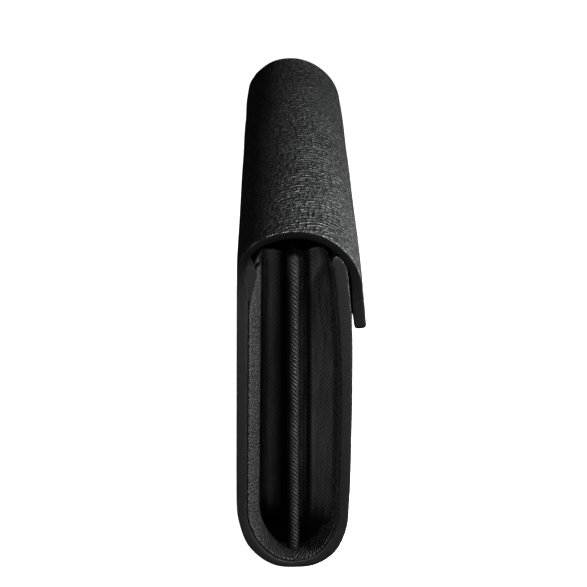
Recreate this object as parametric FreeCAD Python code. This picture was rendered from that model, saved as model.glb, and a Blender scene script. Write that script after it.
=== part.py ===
"""Flap-over leather case for fountain pens, which lie lengthwise in two compartments.

The frame: +X along the case, -Y out of the front, +Z up, with the origin under the middle of the case.
A U-shaped shell of leather, board and lining carries on from its back as the flap, which rolls over the
top and down the front. A divider stands in the middle of the shell. At each end a soft gusset runs from
the back wall, round a deep pleat, round the divider's edge, round a second pleat and to the front wall.

Profiles are drawn in two planes: (forward, up) for the shell and the flap, and (forward, inward) for the
gussets. Forward is the distance in front of the middle of the shell, and inward is the distance from the
end of the case.
"""

import FreeCAD, Part

import math
import os

from FreeCAD import Vector

# Driving dimensions, in millimetres and degrees
LENGTH = 188.0
BACK_BOTTOM_RADIUS = 14.5
BACK_LEAN = 0.8
BACK_HEIGHT = 85.8
FRONT_BOTTOM_RADIUS = 13.6
FRONT_SPREAD = 0.6
FRONT_STRAIGHT_TOP = 48.0
FRONT_CROWN_LENGTH = 38.5
FRONT_CROWN_TURN = 7.6
BOTTOM_TURN = 55.0
BILGE_RADIUS = 19.0
LIP_RADIUS = 4.0
LIP_TURN = 65.0

LEATHER = 1.0
BOARD = 0.8
LINING = 0.9
FLAP_LEATHER = 0.7
FLAP_CORE = 0.4
FLAP_LINING = 0.7

FLAP_CORNER_RADIUS = 9.5
FLAP_CORNER_HEADING = 30.0
CREST_REAR_RADIUS = 20.0
CREST_FRONT_RADIUS = 16.8
CREST_FRONT_TURN = 45.0
SHOULDER_RADIUS = 17.0
SHOULDER_UPPER_TURN = 15.0
SHOULDER_LOWER_TURN = 24.5
TIP_DROP = 10.6
BEND_GAP = 0.05

GUSSET_LEATHER = 0.9
GUSSET_SETBACK = 0.6
FLANK_SLOPE = 60.0
FLANK_RUN = 5.4
FLANK_BEND_RADIUS = 1.0
PLEAT_DEPTH = 12.5
RIDGE_SETBACK = 4.5
RIDGE_HALF_WIDTH = 1.5
MOUTH_HEIGHT = 88.0
MOVING_CLEARANCE = 0.3

DIVIDER_BOARD = 1.2
DIVIDER_LEATHER = 0.7
DIVIDER_FACE_SETBACK = 12.8

MAGNET_RADIUS = 4.5
MAGNET_HEIGHT = 75.5
MAGNET_SPACING = 110.0

# What follows from them
SHELL_WALL = LEATHER + BOARD + LINING
FLAP_WALL = FLAP_LEATHER + FLAP_CORE + FLAP_LINING
LEFT, RIGHT = -1, 1


class Path:
    """A smooth path of straight runs and tangent arcs in one plane, with the thickness of a layered wall
    measured from it towards one side: +1 for the left of the way it goes, -1 for the right."""

    def __init__(self, start, heading, wall_side):
        self.point = Vector(start[0], start[1], 0)
        self.heading = heading
        self.wall_side = wall_side
        self.pieces = []

    def onward(self, gap=0.0):
        """A new path that starts where this one ends, after a gap."""
        ahead = self.point + direction(self.heading) * gap
        return Path((ahead.x, ahead.y), self.heading, self.wall_side)

    def run(self, length):
        end = self.point + direction(self.heading) * length
        self.pieces.append(("run", self.point, self.heading, length))
        self.point = end
        return self

    def turn(self, radius, degrees):
        """An arc that turns left for positive degrees and right for negative ones."""
        hand = math.copysign(1, degrees)
        centre = self.point + direction(self.heading + 90 * hand) * radius
        self.pieces.append(("turn", centre, self.heading, (radius, degrees)))
        self.heading += degrees
        self.point = centre - direction(self.heading + 90 * hand) * radius
        return self

    def length(self):
        return sum(
            size if kind == "run" else size[0] * math.radians(abs(size[1]))
            for kind, _, _, size in self.pieces
        )

    def at(self, distance):
        """The point and the heading at a distance along the path."""
        for kind, anchor, heading, size in self.pieces:
            here = size if kind == "run" else size[0] * math.radians(abs(size[1]))
            if distance > here and (kind, anchor, heading, size) != self.pieces[-1]:
                distance -= here
                continue
            if kind == "run":
                return anchor + direction(heading) * distance, heading
            hand = math.copysign(1, size[1])
            swept = heading + hand * math.degrees(distance / size[0])
            return anchor - direction(swept + 90 * hand) * size[0], swept

    def edges(self, offset):
        """The path's edges, moved by offset into the wall."""
        made = []
        for kind, anchor, heading, size in self.pieces:
            if kind == "run":
                across = direction(heading + 90 * self.wall_side) * offset
                made.append(line(anchor + across, anchor + across + direction(heading) * size))
                continue
            radius, degrees = size
            hand = math.copysign(1, degrees)
            reach = radius - offset * hand * self.wall_side
            corners = [
                anchor - direction(heading + degrees * share + 90 * hand) * reach
                for share in (0, 0.5, 1)
            ]
            made.append(Part.Arc(*corners).toShape())
        return made

    def outline(self, near, far):
        """The closed wire of the layer between two depths in the wall."""
        there, back = self.edges(near), self.edges(far)
        ends = [
            line(there[0].firstVertex().Point, back[0].firstVertex().Point),
            line(there[-1].lastVertex().Point, back[-1].lastVertex().Point),
        ]
        return Part.Wire(Part.__sortEdges__(there + back + ends))


def direction(degrees):
    return Vector(math.cos(math.radians(degrees)), math.sin(math.radians(degrees)), 0)


def line(start, end):
    return Part.LineSegment(start, end).toShape()


def stand_up(flat):
    """Turns a (forward, up) drawing into the model's frame, at X = 0."""
    placed = flat.copy()
    turn = FreeCAD.Placement(Vector(0, MIDDLE_Y, 0), FreeCAD.Rotation(Vector(0, 0, 1), -90))
    tilt = FreeCAD.Placement(Vector(0, 0, 0), FreeCAD.Rotation(Vector(1, 0, 0), 90))
    placed.Placement = turn.multiply(tilt)
    return placed


def along_case(wire, length=LENGTH):
    """The solid of a (forward, up) outline drawn out along the case, centred on it."""
    face = stand_up(Part.Face(wire))
    face.translate(Vector(-length / 2, 0, 0))
    return face.extrude(Vector(length, 0, 0))


def layer(path, near, far):
    return along_case(path.outline(near, far))


# Shell and flap profiles. The middle of the case's whole depth is at Y = 0, so the shell stands behind it.
def back_path():
    path = Path((0, 0), 180, wall_side=-1).turn(BACK_BOTTOM_RADIUS, -BOTTOM_TURN)
    path.turn(BILGE_RADIUS, BOTTOM_TURN - 90 - BACK_LEAN)
    return path.run((BACK_HEIGHT - path.point.y) / math.cos(math.radians(BACK_LEAN)))


def front_path():
    path = Path((BEND_GAP, 0), 0, wall_side=1).turn(FRONT_BOTTOM_RADIUS, BOTTOM_TURN)
    path.turn(BILGE_RADIUS, 90 - FRONT_SPREAD - BOTTOM_TURN)
    path.run((FRONT_STRAIGHT_TOP - path.point.y) / math.cos(math.radians(FRONT_SPREAD)))
    path.turn(FRONT_CROWN_LENGTH / math.radians(FRONT_CROWN_TURN), FRONT_CROWN_TURN)
    return path.turn(LIP_RADIUS, LIP_TURN)


def flap_paths(back):
    rear = back.onward(BEND_GAP)
    rear.turn(FLAP_CORNER_RADIUS, FLAP_CORNER_HEADING - rear.heading)
    rear.turn(CREST_REAR_RADIUS, -FLAP_CORNER_HEADING)
    crest = rear.onward(BEND_GAP).turn(CREST_FRONT_RADIUS, -CREST_FRONT_TURN)
    crest.turn(SHOULDER_RADIUS, -SHOULDER_UPPER_TURN)
    tip = crest.onward(BEND_GAP).turn(SHOULDER_RADIUS, -SHOULDER_LOWER_TURN).run(TIP_DROP)
    return rear, crest, tip


BACK = back_path()
FRONT = front_path()
FLAP_REAR, FLAP_CREST, FLAP_TIP = flap_paths(BACK)
REARMOST = BACK.at((BACK_BOTTOM_RADIUS - BILGE_RADIUS) * math.radians(BOTTOM_TURN)
                   + BILGE_RADIUS * math.pi / 2)[0].x
MIDDLE_Y = (FLAP_TIP.point.x + REARMOST) / 2


def cavity(clearance):
    """The space inside the shell up to the mouth, kept clear of its lining."""
    depth = SHELL_WALL + clearance
    back, front = BACK.edges(depth), FRONT.edges(depth)
    floor = line(back[0].firstVertex().Point, front[0].firstVertex().Point)
    back_top = back[-1].lastVertex().Point
    front_top = front[-1].lastVertex().Point
    lid = Part.makePolygon([back_top, Vector(back_top.x, MOUTH_HEIGHT, 0),
                            Vector(front_top.x, MOUTH_HEIGHT, 0), front_top]).Edges
    return along_case(Part.Wire(Part.__sortEdges__(back + front + [floor] + lid)))


def disc(path, distance, near, far, x):
    """A disc lying in a wall between two depths, at a distance along its path."""
    point, heading = path.at(distance)
    inward = direction(heading + 90 * path.wall_side)
    centre = stand_up(Part.Vertex(point + inward * near)).Point
    tip = stand_up(Part.Vertex(point + inward * far)).Point
    return Part.makeCylinder(MAGNET_RADIUS, far - near, centre + Vector(x, 0, 0), tip - centre)


def discs(path, distance, near, far):
    return [disc(path, distance, near, far, side * MAGNET_SPACING / 2) for side in (LEFT, RIGHT)]


def distance_at_height(path, height):
    """How far along a path it is to a height, found by halving the last stretch that crosses it."""
    low, high = 0.0, path.length()
    rising = path.at(high)[0].y > path.at(low)[0].y
    while high - low > 0.01:
        middle = (low + high) / 2
        above = path.at(middle)[0].y > height
        low, high = (low, middle) if above == rising else (middle, high)
    return low


def gusset_half():
    """The back half of a gusset in the (forward, inward) plane: the part on the back wall, from its flank to
    the bottom of the pleat, and the part on the divider, from there to the front of the ridge."""
    wall = -REARMOST - SHELL_WALL
    flank = Path((-wall, GUSSET_SETBACK), FLANK_SLOPE, wall_side=1).run(FLANK_RUN)
    flank.turn(FLANK_BEND_RADIUS, 90 - FLANK_SLOPE)
    pleat_radius = (-flank.point.x - RIDGE_HALF_WIDTH - BEND_GAP) / 2
    straight_end = PLEAT_DEPTH - pleat_radius
    flank.run(straight_end - flank.point.y).turn(pleat_radius, -90)
    fold = flank.onward(BEND_GAP).turn(pleat_radius, -90)
    fold.run(fold.point.y - RIDGE_SETBACK - RIDGE_HALF_WIDTH).turn(RIDGE_HALF_WIDTH, 90)
    return flank, fold


def gusset_solid(path, room, side, mirrored):
    """A gusset piece at one end of the case, cut to the room it stands in."""
    face = Part.Face(path.outline(0, GUSSET_LEATHER))
    solid = face.extrude(Vector(0, 0, MOUTH_HEIGHT))
    if mirrored:
        solid = solid.mirror(Vector(0, 0, 0), Vector(1, 0, 0))
    solid.rotate(Vector(0, 0, 0), Vector(0, 0, 1), -90)
    solid.translate(Vector(-LENGTH / 2, MIDDLE_Y, 0))
    if side == RIGHT:
        solid = solid.mirror(Vector(0, 0, 0), Vector(1, 0, 0))
    return solid.common(room)


def box(x0, x1, forward0, forward1, z0, z1):
    corner = Vector(x0, MIDDLE_Y - forward1, z0)
    return Part.makeBox(x1 - x0, forward1 - forward0, z1 - z0, corner)


def divider():
    """The board, and the leather folded over its top edge and down both faces."""
    room = cavity(MOVING_CLEARANCE)
    half_board = DIVIDER_BOARD / 2
    half_faced = half_board + DIVIDER_LEATHER
    board_end = LENGTH / 2 - RIDGE_SETBACK - GUSSET_LEATHER
    face_end = LENGTH / 2 - DIVIDER_FACE_SETBACK
    board_top = MOUTH_HEIGHT - DIVIDER_LEATHER
    board = box(-board_end, board_end, -half_board, half_board, 0, board_top).common(room)
    for end in (-board_end, board_end):
        sharp = [e for e in board.Edges if is_upright_at(e, end)]
        board = board.makeFillet(half_board * 0.95, sharp)
    faced = box(-face_end, face_end, -half_faced, half_faced, 0, MOUTH_HEIGHT)
    top_edges = [e for e in faced.Edges if e.BoundBox.ZMin > MOUTH_HEIGHT - 0.1 and e.BoundBox.XLength > face_end]
    faced = faced.makeFillet(half_board, top_edges)
    slot = box(-face_end, face_end, -half_board, half_board, 0, board_top)
    return board, faced.cut(slot).common(room)


def is_upright_at(edge, x):
    box_ = edge.BoundBox
    return box_.ZLength > MOUTH_HEIGHT / 2 and abs(box_.XMin - x) < 0.1 and abs(box_.XMax - x) < 0.1


def build():
    """Every piece by its node name."""
    flap_magnet_at = distance_at_height(FLAP_TIP, MAGNET_HEIGHT)
    keeper_at = distance_at_height(FRONT, MAGNET_HEIGHT)
    board, faces = divider()
    parts = {"divider_board": [board], "divider_leather": [faces]}
    for name, path in (("back", BACK), ("front", FRONT)):
        parts[f"{name}_leather"] = [layer(path, 0, LEATHER)]
        parts[f"{name}_board"] = [layer(path, LEATHER, LEATHER + BOARD)]
        parts[f"{name}_lining"] = [layer(path, LEATHER + BOARD, SHELL_WALL)]
    for name, path in (("flap_rear", FLAP_REAR), ("flap_crest", FLAP_CREST), ("flap_tip", FLAP_TIP)):
        parts[f"{name}_leather"] = [layer(path, 0, FLAP_LEATHER)]
        parts[f"{name}_core"] = [layer(path, FLAP_LEATHER, FLAP_LEATHER + FLAP_CORE)]
        parts[f"{name}_lining"] = [layer(path, FLAP_LEATHER + FLAP_CORE, FLAP_WALL)]
    pockets = {
        ("flap_magnets", "flap_tip_core"): discs(FLAP_TIP, flap_magnet_at, 0, FLAP_WALL),
        ("front_keepers", "front_board"): discs(FRONT, keeper_at, 0, SHELL_WALL),
    }
    for (name, holder), through in pockets.items():
        sheet = parts[holder][0]
        parts[name] = [each.common(sheet) for each in through]
        parts[holder] = [sheet.cut(Part.Compound(through))]
    flank, fold = gusset_half()
    fixed, moving = cavity(0), cavity(MOVING_CLEARANCE)
    for side, end in ((LEFT, "left"), (RIGHT, "right")):
        parts[f"{end}_gusset_back"] = [gusset_solid(flank, fixed, side, mirrored=False)]
        parts[f"{end}_gusset_front"] = [gusset_solid(flank, fixed, side, mirrored=True)]
        halves = [gusset_solid(fold, moving, side, mirrored) for mirrored in (False, True)]
        parts[f"{end}_gusset_centre"] = [halves[0].fuse(halves[1]).removeSplitter()]
    return parts


os.makedirs("parts", exist_ok=True)
for node, solids in build().items():
    pieces = [solid for shape in solids for solid in shape.Solids]
    shape = pieces[0] if len(pieces) == 1 else Part.Compound(pieces)
    shape.exportStep(f"parts/{node}.step")
    print(f"{node}: {len(pieces)} solid(s), {shape.Volume:.1f} mm3, valid {shape.isValid()}")
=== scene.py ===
"""The looks of a flap-over leather case for fountain pens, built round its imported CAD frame.

Sizes are in millimetres and degrees, and meshes are made in metres. Every wall is a strip of leather, board
or lining swept along the case's profile, which is drawn in the (forward, up) plane: forward is the distance
in front of the middle of the shell. A strip has a near skin and a far skin, which close into one solid.
The same two skins make the gussets, whose inward is the distance from the end of the case.
"""

import math

import bpy
import numpy as np
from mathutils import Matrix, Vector


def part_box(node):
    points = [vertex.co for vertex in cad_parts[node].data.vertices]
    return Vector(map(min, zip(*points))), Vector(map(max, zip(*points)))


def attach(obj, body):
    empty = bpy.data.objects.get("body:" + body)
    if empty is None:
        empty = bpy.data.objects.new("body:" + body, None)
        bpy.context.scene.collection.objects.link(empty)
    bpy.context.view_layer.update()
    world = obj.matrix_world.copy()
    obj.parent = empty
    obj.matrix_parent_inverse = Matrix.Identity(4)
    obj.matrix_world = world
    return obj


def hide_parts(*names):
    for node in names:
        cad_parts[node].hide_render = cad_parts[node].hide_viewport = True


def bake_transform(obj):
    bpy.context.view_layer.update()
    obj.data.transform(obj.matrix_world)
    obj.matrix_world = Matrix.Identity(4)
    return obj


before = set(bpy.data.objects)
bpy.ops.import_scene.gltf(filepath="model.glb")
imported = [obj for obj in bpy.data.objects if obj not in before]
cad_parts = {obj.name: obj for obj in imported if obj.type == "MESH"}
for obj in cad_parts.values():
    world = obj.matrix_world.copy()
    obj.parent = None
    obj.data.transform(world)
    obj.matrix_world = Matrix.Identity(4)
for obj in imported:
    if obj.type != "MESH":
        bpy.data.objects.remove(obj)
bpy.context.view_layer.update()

MM = 0.001
GRAIN_MAP = "leather_mm"

# The shell's and the flap's profile
BACK_BOTTOM_RADIUS = 14.5
BACK_LEAN = 0.8
BACK_HEIGHT = 85.8
FRONT_BOTTOM_RADIUS = 13.6
FRONT_SPREAD = 0.6
FRONT_STRAIGHT_TOP = 48.0
FRONT_CROWN_LENGTH = 38.5
FRONT_CROWN_TURN = 7.6
BOTTOM_TURN = 55.0
BILGE_RADIUS = 19.0
LIP_RADIUS = 4.0
LIP_TURN = 65.0
FLAP_CORNER_RADIUS = 9.5
FLAP_CORNER_HEADING = 30.0
CREST_REAR_RADIUS = 20.0
CREST_FRONT_RADIUS = 16.8
CREST_FRONT_TURN = 45.0
SHOULDER_RADIUS = 17.0
SHOULDER_UPPER_TURN = 15.0
SHOULDER_LOWER_TURN = 24.5
TIP_DROP = 10.6

# The layers of the walls, as depths from the outside
SHELL_LEATHER = 1.0
SHELL_LINING_AT = 1.82
SHELL_WALL = 2.7
FLAP_LEATHER = 0.68
FLAP_LINING_AT = 1.1
FLAP_WALL = 1.8
BOTTOM_THINNING = 0.75
TIP_THICKENING = 0.95
MOUTH_PADDING = 1.9
MOUTH_PAD_REACH = 13.5
MOUTH_PAD_ROUNDING = 1.5
LAYER_GAP = 0.04
WALL_SWAY, WALL_WAVE = 0.1, 34.0

# Their edges, and how far each layer stops short of the leather's
TURNED_EDGE = 1.0
BACK_TURNED_EDGE = 2.4
EDGE_BULGE = 0.4
LINING_BULGE = 0.15
EDGE_FLATNESS = 0.34
PAINTED_FROM = 0.1
LINING_INSET = 1.05
MOUTH_LINING_INSET = 0.5
BOARD_INSET = 1.1
BOARD_START = 15.0
COVER_ROUNDING = 1.3
LINING_ROUNDING = 0.6
LINING_SHORT = 1.7
CREASE_INSET = 1.35
CREASE_WIDTH = 0.2
CREASE_DEPTH = 0.1
GRAIN_DEPTH = SHELL_WALL - 0.9
TIP_CORNER_RADIUS = 1.1
TIP_FULLNESS = 0.7

# How far the leather stands out from the profile at the ends of the case, and how much more between them
BACK_SWELL, BACK_SWELL_MORE = 0.35, 0.35
CREST_SWELL = 0.4
FLAP_SWELL, FLAP_SWELL_MORE = 0.5, 0.25
FRONT_SWELL = 0.4
MOUTH_SWELL, MOUTH_SWELL_MORE = 0.35, 0.6
BACK_UNDER_SWELL, FRONT_UNDER_SWELL = 0.33, 0.5
BACK_TUCK, BACK_TUCK_AT, BACK_TUCK_WIDTH = 0.4, 21.0, 5.0
FRONT_TUCK, FRONT_TUCK_AT, FRONT_TUCK_WIDTH = 0.3, 24.0, 6.0
CORNER_SLUMP, SLUMP_AT, SLUMP_WIDTH = 1.0, 6.5, 5.5
FLAP_PAD = 0.35
END_FADE, MOUTH_FADE = 16.0, 22.0
WALL_START = 6.0, 16.0
MOUTH_HEIGHTS = 55.0, 72.0

# Where the flap's strips meet and where they bend: heights, then distances along them
SPLIT_HEIGHT = 78.0
THINNING_START = 80.5
THINNING_END = 85.0
FLAP_LINING_START = 82.7
HINGE_BEND_BEFORE = 4.5
HINGE_BEND_AFTER = 6.5
BEND_REACH = 8.0

# The gussets
GUSSET_LEATHER = 0.9
FLANK_SETBACK = 0.45
FLANK_BEAD = 0.35
REAR_FLANK = {"shelf": 0.0, "width": 3.0, "depth": 4.9, "folded": 1.0, "narrows": (74.5, 87.0)}
FRONT_FLANK = {"shelf": 0.5, "width": 3.3, "depth": 3.7, "folded": 0.0, "narrows": (78.5, 87.5)}
FLANK_LEG = 2.0
FLANK_TOP_WIDTH = 0.8
FLANK_TOP_DEPTH = 3.6
FRONT_FLANK_TOP = 86.8
FLOOR_RISE = 1.2
FLOOR_DEPTH = 6.6
PLEAT_DEPTH = 12.3
PLEAT_RADIUS = 2.5
PLEAT_LEAN = 14.0
SHALLOW_PLEAT_DEPTH = 6.9
SHALLOW_PLEAT_RADII = 2.2, 0.8
PLEAT_BOTTOM = 3.6
PLEAT_SAG = 3.2
PLEAT_GRAIN_WIDTH = 4.5
PLEAT_GRAIN_HEIGHT = 90.0
GRAIN_FOLD_SHARE = 0.42
REAR_PLEAT_TOP, REAR_PLEAT_END = 88.0, -1.97
FRONT_PLEAT_TOP, FRONT_PLEAT_END = 90.4, 2.45
RIDGE_LEG_END = 9.7
RIDGE_TOP = 88.9
RIDGE_BOTTOM = 2.5
RIDGE_ROUNDING = 1.3
RIDGE_SETBACK = 4.5
RIDGE_RADIUS = 1.75
RIDGE_BACK_LEG = 3.4
RIDGE_MIDDLE = -0.2
RIDGE_FLARE = 16.0
DIVIDER_WALL = 0.7

# The bends across the bottom, as distances in front of its middle
REAR_BEND = "back", "divider", -9.0, 0.0
FRONT_BEND = "divider", "front", 0.0, 8.5
REAR_PLEAT_BEND = "back", "divider", -9.0, -2.2
FRONT_PLEAT_BEND = "divider", "front", 3.0, 9.0

# The studio, in metres and watts
CAMERA_PLACE = -0.5275, 0.00558, 0.2463
CAMERA_ELEVATION, CAMERA_SWING = 20.98, 0.51
CAMERA_LENS = 110.8
SOFTBOXES = {
    "key_softbox": ((-0.15, -0.245, 0.185), 0.18, 3.8),
    "end_fill": ((-0.95, -0.1, 0.35), 0.35, 1.5),
    "left_fill": ((-0.8, 0.3, 0.2), 0.35, 2.0),
}
AIM_HEIGHT = 0.06
WORLD_GREY = 0.003
FLOOR_GLOW = 1.1
FLOOR_REACH, FLOOR_STEPS = 6.0, 48
FLOOR_FLAT, FLOOR_RIM = 2.0, 2.5

# The meshes
STEP = 0.8
SEAM_STEP = 0.05
CREASE_STEPS = -0.45, -0.3, -0.15, 0, 0.15, 0.3, 0.45
FREE_END_STEPS = 0.15, 0.3, 0.5, 0.75, 1.0, 1.3, 1.7
SHARP_ANGLE = 50


class Path:
    """A smooth path of straight runs and tangent arcs, with the thickness of a wall measured from it towards
    one side: +1 for the left of the way it goes, -1 for the right. The seed is its leather's unevenness."""

    def __init__(self, start, heading, wall_side, seed=0):
        self.seed = seed
        self.point = np.array(start, float)
        self.heading = heading
        self.wall_side = wall_side
        self.pieces = []

    def run(self, length):
        self.pieces.append((length, self.point, self.heading, None))
        self.point = self.point + direction(self.heading) * length
        return self

    def turn(self, radius, degrees):
        """An arc that turns left for positive degrees and right for negative ones."""
        hand = math.copysign(1, degrees)
        centre = self.point + direction(self.heading + 90 * hand) * radius
        self.pieces.append((radius * math.radians(abs(degrees)), centre, self.heading, (radius, hand)))
        self.heading += degrees
        self.point = centre - direction(self.heading + 90 * hand) * radius
        return self

    def length(self):
        return sum(piece[0] for piece in self.pieces)

    def at(self, distance):
        """The point at a distance along the path, and the direction into the wall there."""
        for index, (length, anchor, heading, arc) in enumerate(self.pieces):
            if distance > length and index < len(self.pieces) - 1:
                distance -= length
                continue
            if arc is None:
                return anchor + direction(heading) * distance, direction(heading + 90 * self.wall_side)
            radius, hand = arc
            swept = heading + hand * math.degrees(distance / radius)
            return anchor - direction(swept + 90 * hand) * radius, direction(swept + 90 * self.wall_side)

    def along(self, distances):
        return np.array([self.at(d)[0] for d in distances])


def direction(degrees):
    return np.array([math.cos(math.radians(degrees)), math.sin(math.radians(degrees))])


def smooth(value, low, high):
    """0 below low and 1 above high, with an easy change between them."""
    t = np.clip((value - low) / (high - low), 0, 1)
    return t * t * (3 - 2 * t)


def hump(value, at, width):
    """1 at one value, with an easy fall to 0 on both sides of it."""
    return np.exp(-((value - at) / width) ** 2)


def back_and_flap_path():
    """From the middle of the bottom up the back, over the top and down to the flap's free edge."""
    path = Path((0, 0), 180, wall_side=-1, seed=3).turn(BACK_BOTTOM_RADIUS, -BOTTOM_TURN)
    path.turn(BILGE_RADIUS, BOTTOM_TURN - 90 - BACK_LEAN)
    path.run((BACK_HEIGHT - path.point[1]) / math.cos(math.radians(BACK_LEAN)))
    marks = {"hinge": path.length()}
    path.turn(FLAP_CORNER_RADIUS, FLAP_CORNER_HEADING - path.heading)
    path.turn(CREST_REAR_RADIUS, -FLAP_CORNER_HEADING)
    marks["crest"] = path.length()
    path.turn(CREST_FRONT_RADIUS, -CREST_FRONT_TURN).turn(SHOULDER_RADIUS, -SHOULDER_UPPER_TURN)
    marks["shoulder"] = path.length()
    path.turn(SHOULDER_RADIUS, -SHOULDER_LOWER_TURN).run(TIP_DROP)
    marks["tip"] = path.length()
    return path, marks


def front_path():
    """From the middle of the bottom up the front to the lip."""
    path = Path((0, 0), 0, wall_side=1, seed=5).turn(FRONT_BOTTOM_RADIUS, BOTTOM_TURN)
    path.turn(BILGE_RADIUS, 90 - FRONT_SPREAD - BOTTOM_TURN)
    path.run((FRONT_STRAIGHT_TOP - path.point[1]) / math.cos(math.radians(FRONT_SPREAD)))
    path.turn(FRONT_CROWN_LENGTH / math.radians(FRONT_CROWN_TURN), FRONT_CROWN_TURN)
    return path.turn(LIP_RADIUS, LIP_TURN)


BACK, MARKS = back_and_flap_path()
FRONT = front_path()
HINGE, CREST, SHOULDER, TIP = (MARKS[name] for name in ("hinge", "crest", "shoulder", "tip"))
REAR_MIDDLE = (HINGE + HINGE_BEND_AFTER + CREST - BEND_REACH) / 2
CREST_MIDDLE = (CREST + SHOULDER) / 2
HALF_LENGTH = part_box("back_leather")[1].x / MM
MIDDLE_Y = (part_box("divider_board")[0].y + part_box("divider_board")[1].y) / 2 / MM


def in_frame(x, forward, up):
    """Points in the row's frame, in metres."""
    return np.stack([x, MIDDLE_Y - forward, up], axis=-1) * MM


def distance_at_height(path, height):
    """How far along a path it is to a height, on the stretch that climbs from the bottom."""
    distances = np.arange(0, path.length(), 0.1)
    heights = path.along(distances)[:, 1]
    return float(np.interp(height, heights[:heights.argmax() + 1], distances[:heights.argmax() + 1]))


def waves(a, b, seed, length):
    """A smooth, low unevenness in -1 to 1 over two coordinates, from a few seeded waves."""
    draw = np.random.default_rng(seed)
    total = 0
    for _ in range(6):
        turn, phase = draw.uniform(0, 2 * math.pi, 2)
        wave = 2 * math.pi / (length * draw.uniform(0.6, 1.7))
        total = total + np.sin((a * math.cos(turn) + b * math.sin(turn)) * wave + phase)
    return total / 6


# Meshes
def solid(name, near, far, along, across, materials, trim=None):
    """A closed solid between two skins, each an array of rows of points in metres. The leather's own
    coordinates, for its grain, are along for each row and across for each column or point, in mm. trim is
    True for the columns of a painted edge."""
    rows, columns = near.shape[:2]
    coordinates = (np.broadcast_to(g, (rows, columns)) for g in (across, along[:, None]))
    grain = np.stack([np.concatenate([g, g[:, ::-1], g[:, :1]], axis=1) for g in coordinates], axis=-1)
    ring = 2 * columns
    points = np.concatenate([near, far[:, ::-1]], axis=1).reshape(-1, 3)
    faces, uvs, slots = [], [], []
    for k in range(rows - 1):
        for m in range(ring):
            after = (m + 1) % ring
            faces.append((k * ring + m, k * ring + after, (k + 1) * ring + after, (k + 1) * ring + m))
            uvs.extend([grain[k, m], grain[k, m + 1], grain[k + 1, m + 1], grain[k + 1, m]])
            column = m if m < columns else ring - 1 - m
            slots.append(1 if trim is not None and (trim[column] or m in (columns - 1, ring - 1)) else 0)
    for k, flip in ((0, True), (rows - 1, False)):
        for m in range(columns - 1):
            corners = [m, m + 1, ring - 2 - m, ring - 1 - m]
            face = [k * ring + c for c in corners]
            where = [grain[k, c] for c in corners]
            faces.append(tuple(face[::-1] if flip else face))
            uvs.extend(where[::-1] if flip else where)
            slots.append(0 if trim is None else 1)
    mesh = bpy.data.meshes.new(name)
    mesh.from_pydata(points.tolist(), [], faces)
    layer = mesh.uv_layers.new(name=GRAIN_MAP)
    layer.data.foreach_set("uv", np.array(uvs, np.float32).ravel())
    for material in materials:
        mesh.materials.append(material)
    mesh.polygons.foreach_set("material_index", slots)
    mesh.polygons.foreach_set("use_smooth", [True] * len(faces))
    mesh.validate()
    a, b, c, d = points[np.array(faces).T]
    volume = np.sum(a * (np.cross(b, c) + np.cross(c, d)))
    if volume < 0:
        mesh.flip_normals()
    mesh.set_sharp_from_angle(angle=math.radians(SHARP_ANGLE))
    piece = bpy.data.objects.new(name, mesh)
    bpy.context.scene.collection.objects.link(piece)
    return piece


def stations(start, end, free_end=False):
    """Distances along a strip, closer together at its ends."""
    even = np.linspace(start, end, max(3, int((end - start) / STEP)))
    extra = [start + SEAM_STEP, end - SEAM_STEP]
    if free_end:
        extra += [end - d for d in FREE_END_STEPS]
    merged = np.unique(np.round(np.concatenate([even, extra]), 3))
    return merged[np.concatenate([[True], np.diff(merged) > SEAM_STEP * 0.9])]


def face_columns(edge):
    """Where a strip's face has its columns, as distances from its middle, closer together near the crease."""
    half = HALF_LENGTH - edge
    crease = [CREASE_INSET + d for d in CREASE_STEPS]
    near_edge = [half - (c - edge) for c in [edge + 0.25, *crease, 2.4, 3.4, 5.0]]
    inner = np.linspace(0, near_edge[-1], 24)
    positive = np.unique(np.concatenate([inner, near_edge, [half]]))
    return np.concatenate([-positive[:0:-1], positive])


def strip_section(edge, wrapped):
    """The columns across a strip: for each its x, its share of the depth on the near and the far skin, and
    whether it belongs to the rounded edge. A wrapped leather is turned over its edges."""
    steps = np.linspace(90, -90 if wrapped else 8, 13 if wrapped else 7)[1:]
    dome_x = [HALF_LENGTH - edge + edge * max(0.0, math.cos(math.radians(a))) ** EDGE_FLATNESS for a in steps]
    dome_share = [(1 - math.sin(math.radians(a))) / 2 for a in steps]
    face = face_columns(edge)
    x = np.concatenate([-np.array(dome_x[::-1]), face, dome_x])
    share = np.concatenate([dome_share[::-1], np.zeros(len(face)), dome_share])
    return x, share, share > PAINTED_FROM


def at_distance(value, s):
    """A depth that is either the same everywhere or a function of the distance along a path."""
    return value(s) if callable(value) else value


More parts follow.
